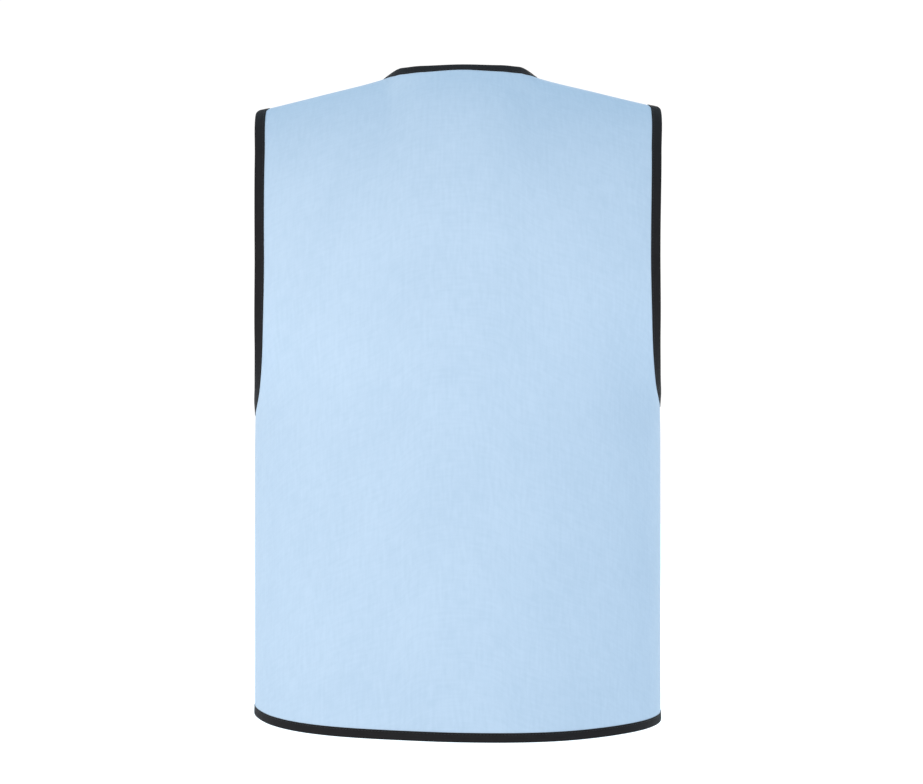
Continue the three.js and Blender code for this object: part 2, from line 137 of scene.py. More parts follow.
# Half of the folded tape's section: share of the width from its inner edge, and in millimetres the
# distance out from the middle of the cloth and the distance beyond the cloth's edge
TAPE_OUTER = [
    {"share": 0.0, "out": 0.42, "beyond": 0},
    {"share": 0.0, "out": 0.72, "beyond": 0},
    {"share": 0.03, "out": 0.9, "beyond": 0},
    {"share": 0.1, "out": 0.96, "beyond": 0},
    {"share": 0.2, "out": 0.8, "beyond": 0},
    {"share": 0.32, "out": 1.0, "beyond": 0},
    {"share": 0.6, "out": 1.1, "beyond": 0},
    {"share": 0.88, "out": 1.16, "beyond": 0},
    {"share": 1.0, "out": 1.12, "beyond": 0.2},
    {"share": 1.0, "out": 0.88, "beyond": 0.8},
    {"share": 1.0, "out": 0.48, "beyond": 1.18},
]
TAPE_FOLD = {"share": 1.0, "out": 0, "beyond": 1.3}
TAPE_INNER = [
    {"share": 1.0, "out": 0.4, "beyond": 0.4},
    {"share": 0.5, "out": 0.42, "beyond": 0},
]

# Stitching
STITCH_LENGTH = 2.7 * MM
STITCH_PITCH = 3.4 * MM
THREAD = 0.42 * MM
STITCH_SIZE = (STITCH_LENGTH, THREAD, THREAD)
STITCH_SEGMENTS = 6
STITCH_RINGS = 4

# Zip
ZIP_TAPE_OUT = -1.3 * MM  # outer face of the zip's tape, from the middle of the cloth
ZIP_TAPE = 0.8 * MM
ZIP_TAPE_IN = 0.02 * MM  # centre to the tape's inner edge
ZIP_TAPE_HALF = 13 * MM
TOOTH_PITCH = 2.5 * MM
TOOTH_SIZE = (1.3 * MM, 2.5 * MM, 3.4 * MM)  # along, through and across the zip
TOOTH_OUT = 0.1 * MM  # middle of the teeth, from the middle of the cloth
TOOTH_SIDE = 0.75 * MM  # middle of one side's teeth, from the centre
TOOTH_CREASE = 0.55  # how sharp the edges of a tooth stay, from 0 to 1
ZIP_END_GAP = 1 * MM  # between the zip's upper end and the point of the V
ZIP_TAPE_CORNER = 6 * MM  # length over which the tape's outer corners are rounded
ZIP_TAPE_CUT = 3 * MM  # and how far they are cut back
ZIP_TAPE_ROWS = 160
ZIP_STITCH_START = 32 * MM
ZIP_STITCH_OUT = 8.5 * MM  # centre to the stitching
SLIDER_OUTLINE = {
    "middle": 11.3 * MM,
    "half_length": 5.8 * MM,
    "half_width": 4.6 * MM,
    "lower_half_width": 3.9 * MM,
    "squareness": 3.4,
}
SLIDER_BASE = 1.9 * MM
SLIDER_FACE = 2.9 * MM
SLIDER_BACK = -2.4 * MM  # face of the slider's back plate, behind the zip's tape
SLIDER_BEVEL = 0.25 * MM
BRIDGE = 0.9 * MM  # thickness of the slider's bridge
BRIDGE_RISE = 2.3 * MM
BRIDGE_HALF_LENGTH = 3.6 * MM
BRIDGE_HALF_WIDTH = 0.9 * MM
BRIDGE_POWER = 0.7  # below 1 its arch is flatter on top than a half circle
BRIDGE_STEPS = 13
PULL = 0.9 * MM  # thickness of the pull
PULL_BASE = 3.1 * MM
PULL_OUTLINE = {
    "middle": 27.6 * MM,
    "half_length": 16.4 * MM,
    "half_width": 2.6 * MM,
    "lower_half_width": 3.2 * MM,
    "squareness": 6,
}
SLOT_OUTLINE = {  # the slot in the pull, which holds the bridge
    "middle": 14.6 * MM,
    "half_length": 2.6 * MM,
    "half_width": 1.5 * MM,
    "lower_half_width": 1.5 * MM,
    "squareness": 2.6,
}
FOOT_HALF_LENGTH = 5.5 * MM  # the box that the zip's lower end plugs into
FOOT_HALF_WIDTH = 3.05 * MM
FOOT_SQUARENESS = 8
FOOT_FACE = 2.1 * MM

# Colours
BLUE_DARK = (0.412, 0.521, 0.645)
BLUE_PALE = (0.450, 0.557, 0.680)
BLACK_DEEP = (0.007, 0.0063, 0.0068)
# pale end of the tape's tone: real wear, and a painted highlight on the crests of its ribbing
BLACK_WORN_AND_HIGHLIGHT = (0.021, 0.019, 0.020)
THREAD_BLACK = (0.016, 0.015, 0.017)
ZIP_DEEP = (0.010, 0.010, 0.011)
ZIP_WORN = (0.024, 0.024, 0.026)

# Noise in the finishes: how often it changes in a metre of each direction
STREAKS = {"scale": (520, 9, 1), "detail": 3}
WARP = {"scale": (330, 60, 1), "detail": 2}
WEFT = {"scale": (60, 330, 1), "detail": 2}
CLOUDS = {"scale": (14, 11, 1), "detail": 2}
TAPE_WEAR = {"scale": (90, 260, 1), "detail": 3}
FUZZ = {"scale": (900, 900, 900), "detail": 2}
SCUFFS = {"scale": (700, 700, 160), "detail": 3}

# Weave of the cloth and of the tape
WARP_SHARE = 0.32  # share of each noise in the cloth's tone
WEFT_SHARE = 0.3
STREAK_SHARE = 0.13
CLOUD_SHARE = 0.25
TONE_DARK = 0.40  # tone at which the cloth is darkest
TONE_PALE = 0.60
WARP_PITCH = 0.62 * MM
WEFT_PITCH = 0.7 * MM
WEAVE_RELIEF = 0.3
THREAD_RELIEF = 1.45
RIB_PITCH = 0.85 * MM
RIB_HIGHLIGHT_SHARE = 0.35  # share of the painted highlight on the ribbing in the tape's tone; wear is the rest
TAPE_THREAD_PITCH = 0.55 * MM
TAPE_THREAD_RELIEF = 0.25

# Finishes: range of roughness, depth and strength of the relief, and the shader's own values
CLOTH_FINISH = {
    "roughness": (0.66, 0.84),
    "relief": (0.06 * MM, 0.6),
    "shader": {"Sheen Weight": 0.12, "Sheen Roughness": 0.45, "Specular IOR Level": 0.3},
}
TAPE_FINISH = {
    "roughness": (0.5, 0.78),
    "relief": (0.08 * MM, 0.7),
    "shader": {"Sheen Weight": 0.012, "Sheen Roughness": 0.4, "Specular IOR Level": 0.06},
}
THREAD_FINISH = {
    "roughness": (0.45, 0.7),
    "relief": (0.05 * MM, 0.5),
    "shader": {},
}
PLASTIC_FINISH = {
    "roughness": (0.28, 0.5),
    "relief": (0.03 * MM, 0.4),
    "shader": {"Specular IOR Level": 0.2},
}

# Fineness of the meshes
NECK_COLUMNS = 24
SHOULDER_COLUMNS = 30
ARMHOLE_ROWS = 58
SIDE_ROWS = 50
FINE = 600  # points on a finely drawn edge
THREAD_STEPS = 40  # points along a thread of the cloth when its length is measured
OUTLINE_POINTS = 48
FRAME_STEP = 0.002  # of turn and fall, to find the directions along the cloth
NECK_HALVINGS = 50  # how often the search for the back's neck edge halves its range
V_ROUNDS = 20  # how often the V-neck's edge is corrected

# Camera and studio
CAMERA_PLACE = (0.0039, -2.0, -0.3231)
CAMERA_SENSOR = 36  # width in millimetres, as the lens is
CAMERA_LENS = 75.33
FLOOR = -0.80
FLOOR_HALF = 5.0
FLOOR_WHITE = (0.98, 0.98, 0.98, 1)
FLOOR_ROUGHNESS = 0.9
FLOOR_GLOW = 0.3  # a lit white table
HORIZON_LIGHT = (1.07, 1.06, 1.06)
OVERHEAD_LIGHT = (0.57, 0.88, 1.10)
OVERHEAD_FROM = 0.1  # height of a direction at which the light starts to change, from 0 to 1
LIGHT_COLOUR = (1.0, 0.80, 0.62)
LIGHT_TARGET = (0, 0, -0.3)
LIGHTS = [
    {"name": "key", "place": (-1.45, -2.5, -0.4), "size": 1.2, "power": 23},
    {"name": "front", "place": (0.3, 2.7, 0.75), "size": 1.2, "power": 22},
]


# The photograph's camera
def make_camera():
    data = bpy.data.cameras.new("photo_camera")
    camera = bpy.data.objects.new("photo_camera", data)
    bpy.context.scene.collection.objects.link(camera)
    camera.location = CAMERA_PLACE
    camera.rotation_euler = (RIGHT_ANGLE, 0, 0)
    data.sensor_width = CAMERA_SENSOR
    data.lens = CAMERA_LENS
    bpy.context.scene.camera = camera


make_camera()


# Surface of the cloth. A place is [turn, fall]: turn counts round the body from the centre of the
# back or front, a right angle at the side seam, and fall counts down from the ridge of the shoulders.
def mix(a, b, share):
    return a + (b - a) * share


def smooth_step(value, low, high):
    t = np.clip((value - low) / (high - low), 0, 1)
    return t * t * (3 - 2 * t)


def read(table, key, column, at):
    """A smooth curve through one column against another that rises, level at both ends."""
    keys = table[key]
    values = table[column]
    slopes = np.zeros_like(values)
    slopes[1:-1] = (values[2:] - values[:-2]) / (keys[2:] - keys[:-2])
    at = np.clip(at, keys[0], keys[-1])
    i = np.clip(np.searchsorted(keys, at, side="right") - 1, 0, len(keys) - 2)
    run = keys[i + 1] - keys[i]
    t = (at - keys[i]) / run
    bend = run * t * (1 - t) * ((1 - t) * slopes[i] - t * slopes[i + 1])
    return mix(values[i], values[i + 1], t * t * (3 - 2 * t)) + bend


def drop_at(fall):
    roll = np.minimum(fall, 1) * RIGHT_ANGLE
    return CAP_DROP * (1 - np.cos(roll)) + np.maximum(fall - 1, 0) * CAP_ARC


def fall_at(drop):
    if drop > CAP_DROP:
        return 1 + (drop - CAP_DROP) / CAP_ARC
    return np.arccos(1 - drop / CAP_DROP) / RIGHT_ANGLE


def half_width_at(fall):
    above = UNDERARM_DROP - drop_at(fall)
    flare = FLARE * smooth_step(above + FLARE_START, 0, FLARE_RUN)
    tuck = UNDERARM_TUCK * (1 - smooth_step(np.abs(above), 0, TUCK_REACH))
    return SIDE_HALF + flare - tuck


def turn_at(out, fall):
    return np.arcsin(np.minimum(out / half_width_at(fall), 1))


def places(turn, fall):
    return np.stack(np.broadcast_arrays(turn, fall), axis=-1).astype(float)


def cloth_point(side, place, gap=SEAM_GAP):
    """Points on the middle of the cloth."""
    turn = place[..., 0]
    fall = place[..., 1]
    drop = drop_at(fall)
    reach = np.sin(np.minimum(fall, 1) * RIGHT_ANGLE)
    depth = read(DEPTHS, "drop", "back" if side == BACK else "front", drop)
    out = half_width_at(fall) * np.sin(turn)
    shift = NECK_SHIFT * (1 - smooth_step(drop, 0, NECK_SHIFT_DROP))
    x = out + shift * np.cos(turn) ** NECK_SHIFT_POWER
    y = side * (gap / 2 + depth * reach * np.cos(turn))
    ridge = read(RIDGE, "out", "height", np.abs(out))
    below = read(RIDGE, "out", "below", np.abs(out))
    line = mix(ridge, below, smooth_step(drop, 0, NECK_RISE_DROP))
    top = RIDGE["height"][0]
    slope = 1 - smooth_step(drop, 0, LEVEL_DROP)
    tilt = read(TILT, "drop", "rise", drop)
    z = top - drop + slope * (line - top) + tilt * x
    if side == BACK:
        z = z - read(HEM_SAG, "out", "sag", x) * smooth_step(drop, HEM_DROP - SAG_REACH, HEM_DROP)
    return np.stack([x, y, z], axis=-1)


def unit(vectors):
    return vectors / np.linalg.norm(vectors, axis=-1, keepdims=True)


def cloth_frame(side, place):
    """The two directions along the cloth and its outward normal."""
    turn_step = np.array([FRAME_STEP, 0])
    fall_step = np.array([0, FRAME_STEP])
    across = cloth_point(side, place + turn_step) - cloth_point(side, place - turn_step)
    down = cloth_point(side, place + fall_step) - cloth_point(side, place - fall_step)
    normal = unit(side * np.cross(across, down))
    return across / (2 * FRAME_STEP), down / (2 * FRAME_STEP), normal


def cloth_normal(side, place):
    return cloth_frame(side, place)[2]


def inset_edge(side, edge, width):
    """The places a width in from an edge of the neck or armhole, square to it."""
    across, down, normal = cloth_frame(side, edge)
    tangent = unit(np.gradient(cloth_point(side, edge), axis=0))
    step = side * width * np.cross(normal, tangent)
    aa = (across * across).sum(-1)
    ad = (across * down).sum(-1)
    dd = (down * down).sum(-1)
    sa = (across * step).sum(-1)
    sd = (down * step).sum(-1)
    size = aa * dd - ad * ad
    return edge + places((sa * dd - sd * ad) / size, (sd * aa - sa * ad) / size)


def inset_hem(_side, edge, width):
    """The places a width above the hem, on either side."""
    return edge - places(0, width / CAP_ARC)


def lengths_along(points):
    gaps = np.linalg.norm(np.diff(points, axis=0), axis=-1)
    return np.concatenate([np.zeros_like(gaps[:1]), np.cumsum(gaps, axis=0)])


def even_places(side, fine, count):
    """Evenly spaced places along a finely drawn edge."""
    lengths = lengths_along(cloth_point(side, fine))
    targets = np.linspace(0, lengths[-1], count + 1)
    return places(np.interp(targets, lengths, fine[:, 0]), np.interp(targets, lengths, fine[:, 1]))


# Edges of half a panel
def armhole_edge():
    """From the ridge to the underarm, alike on the back and the front."""
    fall = fall_at(UNDERARM_DROP) * (1 - np.linspace(1, 0, FINE) ** 2)
    return places(turn_at(read(ARMHOLE, "drop", "out", drop_at(fall)), fall), fall)


def back_neck_edge():
    """From the centre to the ridge."""
    out = NECK_HALF * np.sin(np.linspace(0, RIGHT_ANGLE, FINE))
    share = np.clip(out / NECK_HALF, 0, 1)
    depth = NECK_BACK * (1 - share**NECK_SQUARENESS) ** (1 / NECK_SQUARENESS)
    low = np.zeros(FINE)
    high = np.ones(FINE)
    for _ in range(NECK_HALVINGS):
        fall = (low + high) / 2
        short = -cloth_point(BACK, places(turn_at(out, fall), fall), 0)[:, 1] < depth
        low = np.where(short, fall, low)
        high = np.where(short, high, fall)
    return places(turn_at(out, fall), fall)


def front_neck_edge():
    """From the zip to the ridge, straight as seen from the front."""
    top = read(RIDGE, "out", "height", NECK_HALF)
    fall = fall_at(RIDGE["height"][0] - V_HEIGHT) * np.linspace(1, 0, FINE)
    out = np.full(FINE, NECK_HALF)
    for _ in range(V_ROUNDS):
        height = cloth_point(FRONT, places(turn_at(out, fall), fall))[:, 2]
        out = mix(NECK_HALF, ZIP_GAP, np.clip((top - height) / (top - V_HEIGHT), 0, 1))
    return places(turn_at(out, fall), fall)


def hem_edge(side):
    """From the centre of the back, or from the zip, to the side seam."""
    fall = fall_at(HEM_DROP)
    start = 0 if side == BACK else turn_at(ZIP_GAP, fall)
    return places(np.linspace(start, RIGHT_ANGLE, FINE), fall)


def mirrored(place):
    return place * np.array([-1, 1])


# Cloth panels
def half_panel(side):
    """A grid of places over half a panel, filled in from its four sides."""
    neck = even_places(side, back_neck_edge() if side == BACK else front_neck_edge(), NECK_COLUMNS)
    armhole = even_places(side, armhole_edge(), ARMHOLE_ROWS)
    hem_fall = fall_at(HEM_DROP)
    shoulder_turn = np.linspace(neck[-1, 0], armhole[0, 0], SHOULDER_COLUMNS + 1)
    top = np.concatenate([neck, places(shoulder_turn[1:], 0)])
    side_fall = np.linspace(armhole[-1, 1], hem_fall, SIDE_ROWS + 1)
    outer = np.concatenate([armhole, places(RIGHT_ANGLE, side_fall[1:])])
    inner_fall = np.linspace(neck[0, 1], hem_fall, len(outer))
    inner = places(0 if side == BACK else turn_at(ZIP_GAP, inner_fall), inner_fall)
    bottom = places(np.linspace(inner[-1, 0], RIGHT_ANGLE, len(top)), hem_fall)
    u = np.linspace(0, 1, len(top))[None, :, None]
    v = np.linspace(0, 1, len(outer))[:, None, None]
    sides = mix(inner[:, None], outer[:, None], u)
    ends = mix(top[None], bottom[None], v)
    corners = mix(mix(top[0], top[-1], u), mix(bottom[0], bottom[-1], u), v)
    return sides + ends - corners


def seam_dip(side, place):
    """How far the cloth is drawn in beside the shoulder seam and the side seam, clear of the tapes."""
    x, y = np.moveaxis(np.abs(cloth_point(side, place, 0)), -1, 0)[:2]
    drop = drop_at(place[..., 1])
    on_side = np.minimum(HEM_DROP - drop, drop - UNDERARM_DROP)
    on_shoulder = np.minimum(x - NECK_HALF, ARMHOLE["out"][0] - x)
    from_edge = np.where(drop > CAP_DROP, on_side, on_shoulder)
    beside_seam = 1 - smooth_step(y, 0, SEAM_REACH)
    clear_of_tape = smooth_step(from_edge, NECK_TAPE_WIDTH, SEAM_FADE)
    return SEAM_DIP * beside_seam * clear_of_tape


def thread_lengths(side, place):
    """Distance across the cloth from its centre and down it from the ridge, along its threads."""
    share = np.linspace(0, 1, THREAD_STEPS)[:, None, None]
    turn, fall = np.moveaxis(place, -1, 0)
    across = lengths_along(cloth_point(side, places(turn * share, fall)))[-1] * np.sign(turn)
    down = lengths_along(cloth_point(side, places(turn, fall * share)))[-1]
    return across, down


def grid_quads(rows, across, flipped):
    """The quads of a grid of vertices, numbered row by row."""
    numbers = np.arange(rows * across).reshape(rows, across)
    quads = np.stack([numbers[:-1, :-1], numbers[1:, :-1], numbers[1:, 1:], numbers[:-1, 1:]], axis=-1)
    quads = quads.reshape(-1, 4)
    return quads[:, ::-1] if flipped else quads


def tube_faces(count, size, closed):
    """Faces through a count of rings of corners, back to the first ring or with a face at each end."""
    faces = []
    spans = count if closed else count - 1
    for i in range(spans):
        near = i * size
        far = ((i + 1) % count) * size
        for j in range(size):
            k = (j + 1) % size
            faces.append((near + j, near + k, far + k, far + j))
    if not closed:
        end = (count - 1) * size
        faces.append(tuple(range(size - 1, -1, -1)))
        faces.append(tuple(range(end, end + size)))
    return faces


def smooth_object(name, mesh):
    """An object in the scene for a mesh, shaded smooth."""
    for polygon in mesh.polygons:
        polygon.use_smooth = True
    piece = bpy.data.objects.new(name, mesh)
    bpy.context.scene.collection.objects.link(piece)
    return piece


def new_piece(name, points, faces, uv=None):
    """A mesh object with its place in its mesh. uv gives metres for each vertex."""
    mesh = bpy.data.meshes.new(name)
    mesh.from_pydata([tuple(p) for p in points], [], [tuple(int(i) for i in f) for f in faces])
    if uv is not None:
        layer = mesh.uv_layers.new(name="cloth")
        for loop in mesh.loops:
            layer.data[loop.index].uv = uv[loop.vertex_index]
    return smooth_object(name, mesh)


def panel(name, side, grid, material):
    """One panel of cloth from a grid of places whose columns run towards +X."""
    points = cloth_point(side, grid) - cloth_normal(side, grid) * seam_dip(side, grid)[..., None]
    rows, across = grid.shape[:2]
    u, v = thread_lengths(side, grid)
    uv = np.stack([u, v], axis=-1).reshape(-1, 2)
    faces = grid_quads(rows, across, flipped=side == FRONT)
    piece = new_piece(name, points.reshape(-1, 3), faces, uv)
    wall = piece.modifiers.new("wall", "SOLIDIFY")
    wall.thickness = CLOTH
    wall.offset = 0
    piece.data.materials.append(material)
    cut = {"width": np.ptp(u), "length": np.ptp(v), "area": cloth_area(points)}
    return piece, cut


def cloth_area(points):
    first = points[1:, 1:] - points[:-1, :-1]
    second = points[:-1, 1:] - points[1:, :-1]
    return np.linalg.norm(np.cross(first, second), axis=-1).sum() / 2


# Folded tape
def tape_section():
    """Corners of the tape's section, once round: its outer skin and then its lining."""

    def inside(corner):
        return {**corner, "out": -corner["out"]}

    skin = [*TAPE_OUTER, TAPE_FOLD, *[inside(c) for c in reversed(TAPE_OUTER)]]
    lining = [*[inside(c) for c in reversed(TAPE_INNER)], *TAPE_INNER]
    return skin + lining


def edge_line(side, fine, hand, inset, width):
    """Stations of a tape along an edge: points and normals at the edge and at the tape's inner end."""
    count = int(round(lengths_along(cloth_point(side, fine, 0))[-1] / TAPE_STEP))
    edge = even_places(side, fine, count)
    band = inset(side, edge, width)
    if hand < 0:
        edge = mirrored(edge)
        band = mirrored(band)
    return {
        "edge": cloth_point(side, edge, 0),
        "edge_normal": cloth_normal(side, edge),
        "band": cloth_point(side, band, 0),
        "band_normal": cloth_normal(side, band),
    }


def joined(*lines):
    """Lines of stations end to end, each without the first station that the one before it gives."""
    first, *others = lines
    return {key: np.concatenate([first[key], *[line[key][1:] for line in others]]) for key in first}


def reverse(line):
    return {key: values[::-1] for key, values in line.items()}


def on_tape(line, share, out, beyond=0.0):
    """Points of the tape by share of its width, distance out and distance beyond the edge."""
    inward = unit(line["band"] - line["edge"])
    normal = unit(mix(line["band_normal"], line["edge_normal"], share))
    return mix(line["band"], line["edge"], share) + normal * out - inward * beyond


def tape(name, line, closed, material):
    """The folded tape along a line of stations."""
    section = tape_section()
    rings = np.stack(
        [on_tape(line, c["share"], c["out"] * MM, c["beyond"] * MM) for c in section], axis=1
    )
    count, size = rings.shape[:2]
    faces = tube_faces(count, size, closed)
    along = lengths_along(line["edge"])
    place_round = lengths_along(rings[count // 2])
    uv = np.stack(np.meshgrid(along, place_round, indexing="ij"), axis=-1).reshape(-1, 2)
    piece = new_piece(name, rings.reshape(-1, 3), faces, uv)
    face_outwards(piece)
    piece.data.materials.append(material)
    skin = len(TAPE_OUTER) * 2 + 1
    length = along[-1] + (np.linalg.norm(line["edge"][0] - line["edge"][-1]) if closed else 0)
    return piece, {"width": place_round[skin - 1], "length": length}


def face_outwards(piece):
    mesh = bmesh.new()
    mesh.from_mesh(piece.data)
    bmesh.ops.recalc_face_normals(mesh, faces=mesh.faces)
    mesh.to_mesh(piece.data)
    mesh.free()


def armhole_line(hand):
    """Stations once round an armhole, with the tape's inner end set where the back meets the front."""
    back = edge_line(BACK, armhole_edge(), hand, inset_edge, ARMHOLE_TAPE_WIDTH)
    front = edge_line(FRONT, armhole_edge(), hand, inset_edge, ARMHOLE_TAPE_WIDTH)
    for line in (back, front):
        line["band"][0, 1] = 0
        line["band"][-1] = line["edge"][-1] - np.array([0, 0, ARMHOLE_TAPE_WIDTH])
        line["band_normal"][-1] = line["edge_normal"][-1]
    around = joined(back, reverse(front))
    return {key: values[:-1] for key, values in around.items()}


def round_the_body(halves):
    """One line of stations from the zip, round the left side, the back and the right side, to the zip."""
    (front_left, back_left), (front_right, back_right) = halves
    return joined(front_left, back_left, reverse(back_right), reverse(front_right))


def neck_line():
    """Stations round the neck, with the tape's inner end set at the ridge, the centre and the zip."""
    halves = []
    for hand in (-1, 1):
        front = edge_line(FRONT, front_neck_edge(), hand, inset_edge, NECK_TAPE_WIDTH)
        back = edge_line(BACK, back_neck_edge(), hand, inset_edge, NECK_TAPE_WIDTH)
        back["band"][-1, 1] = 0
        back["band"][0, 0] = back["edge"][0, 0]
        front["band"][-1] = back["band"][-1]
        slide = (front["band"][0, 0] - hand * ZIP_GAP) / (front["band"][1, 0] - front["band"][0, 0])
        front["band"][0] -= slide * (front["band"][1] - front["band"][0])
        halves.append((front, reverse(back)))
    return round_the_body(halves)


def hem_line():
    """Stations round the hem."""
    halves = []
    for hand in (-1, 1):
        front = edge_line(FRONT, hem_edge(FRONT), hand, inset_hem, HEM_TAPE_WIDTH)
        back = edge_line(BACK, hem_edge(BACK), hand, inset_hem, HEM_TAPE_WIDTH)
        halves.append((front, reverse(back)))
    return round_the_body(halves)


# Materials
def add_node(tree, kind, **settings):
    node = tree.nodes.new(kind)
    for key, value in settings.items():
        setattr(node, key, value)
    return node


def add_blend(tree, share, first, second):
    """The colour between two colours, by a share from 0 to 1."""
    node = add_node(tree, "ShaderNodeMix", data_type="RGBA")
    tree.links.new(share, node.inputs[0])
    colours = [socket for socket in node.inputs if socket.type == "RGBA"]
    for socket, colour in zip(colours, (first, second)):
        socket.default_value = (*colour, 1)
    return next(socket for socket in node.outputs if socket.type == "RGBA")


class Nodes:
    """A material's node tree, with short words for adding to it."""

    def __init__(self, name):
        self.material = bpy.data.materials.new(name)
        self.material.use_nodes = True
        self.tree = self.material.node_tree
        self.shader = self.tree.nodes["Principled BSDF"]

    def add(self, kind, **settings):
        return add_node(self.tree, kind, **settings)

    def link(self, source, target):
        self.tree.links.new(source, target)

    def math(self, operation, a, b=None):
        node = self.add("ShaderNodeMath", operation=operation)
        for socket, value in zip(node.inputs, (a, b)):
            if isinstance(value, bpy.types.NodeSocket):
                self.link(value, socket)
            elif value is not None:
                socket.default_value = value
        return node.outputs[0]

    def cloth_coordinates(self):
        """Distance across and along the cloth, in metres, and both as a vector."""
        uv = self.add("ShaderNodeUVMap", uv_map="cloth")
        parts = self.add("ShaderNodeSeparateXYZ")
        self.link(uv.outputs[0], parts.inputs[0])
        return parts.outputs[0], parts.outputs[1], uv.outputs[0]

    def total(self, *terms):
        """The sum of values, each times its share."""
        first, *others = [self.math("MULTIPLY", value, share) for value, share in terms]
        for other in others:
            first = self.math("ADD", first, other)
        return first

    def noise(self, vector, scale, detail):
        """Noise from 0 to 1, with a scale for each direction."""
        mapping = self.add("ShaderNodeMapping")
        mapping.inputs["Scale"].default_value = scale
        self.link(vector, mapping.inputs["Vector"])
        noise = self.add("ShaderNodeTexNoise")
        noise.inputs["Scale"].default_value = 1
        noise.inputs["Detail"].default_value = detail
        self.link(mapping.outputs[0], noise.inputs["Vector"])
        return noise.outputs["Fac"]

    def ripple(self, distance, pitch):
        return self.math("SINE", self.math("MULTIPLY", distance, 2 * np.pi / pitch))

    def spread(self, value, low, high, first=0.0, last=1.0):
        """A value from first to last, spread over the range from low to high."""
        node = self.add("ShaderNodeMapRange")
        node.inputs["From Min"].default_value = first
        node.inputs["From Max"].default_value = last
        node.inputs["To Min"].default_value = low
        node.inputs["To Max"].default_value = high
        self.link(value, node.inputs["Value"])
        return node.outputs[0]

    def blend(self, share, first, second):
        return add_blend(self.tree, share, first, second)

    def finished(self, finish, colour, wear, height):
        """The material with its colour, its roughness by wear, its relief and its shader's own values."""
        inputs = self.shader.inputs
        self.link(colour, inputs["Base Color"])
        self.link(self.spread(wear, *finish["roughness"]), inputs["Roughness"])
        bump = self.add("ShaderNodeBump")
        bump.inputs["Distance"].default_value, bump.inputs["Strength"].default_value = finish["relief"]
        self.link(height, bump.inputs["Height"])
        self.link(bump.outputs[0], inputs["Normal"])
        for name, value in finish["shader"].items():
            inputs[name].default_value = value
        return self.material


def blue_cloth():
    """Plain woven polyester: fine uneven threads both ways, with faint streaks along the warp."""
    nodes = Nodes("blue_cloth")
    across, along, both = nodes.cloth_coordinates()
    streaks = nodes.noise(both, **STREAKS)
    warp = nodes.noise(both, **WARP)
    weft = nodes.noise(both, **WEFT)
    clouds = nodes.noise(both, **CLOUDS)
    threads = nodes.total((warp, WARP_SHARE), (weft, WEFT_SHARE))
    shade = nodes.total((streaks, STREAK_SHARE), (clouds, CLOUD_SHARE))
    tone = nodes.spread(nodes.math("ADD", threads, shade), 0, 1, TONE_DARK, TONE_PALE)
    weave = nodes.math("MULTIPLY", nodes.ripple(across, WARP_PITCH), nodes.ripple(along, WEFT_PITCH))
    height = nodes.total((weave, WEAVE_RELIEF), (threads, THREAD_RELIEF))
    return nodes.finished(CLOTH_FINISH, nodes.blend(tone, BLUE_DARK, BLUE_PALE), streaks, height)


def black_tape():
    """Ribbed woven tape, with a painted highlight on each rib and painted shade between them, and a little
    paler where it is worn.
    """
    nodes = Nodes("black_tape")
    along, round_it, both = nodes.cloth_coordinates()
    # the ribbing's relief, which is also painted into the colour as a highlight on its crests and shade
    # between them
    rib_relief_and_highlight = nodes.spread(nodes.ripple(along, RIB_PITCH), 0, 1, -1, 1)
    threads = nodes.ripple(round_it, TAPE_THREAD_PITCH)
    wear = nodes.noise(both, **TAPE_WEAR)
    # tone: painted highlight and painted shade from the ribbing, mixed with real wear
    tone = nodes.total((rib_relief_and_highlight, RIB_HIGHLIGHT_SHARE), (wear, 1 - RIB_HIGHLIGHT_SHARE))
    height = nodes.total((rib_relief_and_highlight, 1), (threads, TAPE_THREAD_RELIEF))
    return nodes.finished(TAPE_FINISH, nodes.blend(tone, BLACK_DEEP, BLACK_WORN_AND_HIGHLIGHT), wear, height)


def thread(name, dark, pale):
    """Twisted sewing thread."""
    nodes = Nodes(name)
    place = nodes.add("ShaderNodeTexCoord").outputs["Object"]
    fuzz = nodes.noise(place, **FUZZ)
    return nodes.finished(THREAD_FINISH, nodes.blend(fuzz, dark, pale), fuzz, fuzz)


def zip_plastic():
    """Moulded plastic, satin, with faint scuffs."""
    nodes = Nodes("zip_plastic")
    place = nodes.add("ShaderNodeTexCoord").outputs["Object"]
    scuffs = nodes.noise(place, **SCUFFS)
    return nodes.finished(PLASTIC_FINISH, nodes.blend(scuffs, ZIP_DEEP, ZIP_WORN), scuffs, scuffs)


cloth_finish = blue_cloth()
tape_finish = black_tape()
black_thread = thread("black_thread", BLACK_DEEP, THREAD_BLACK)
blue_thread = thread("blue_thread", BLUE_DARK, BLUE_PALE)
zip_finish = zip_plastic()


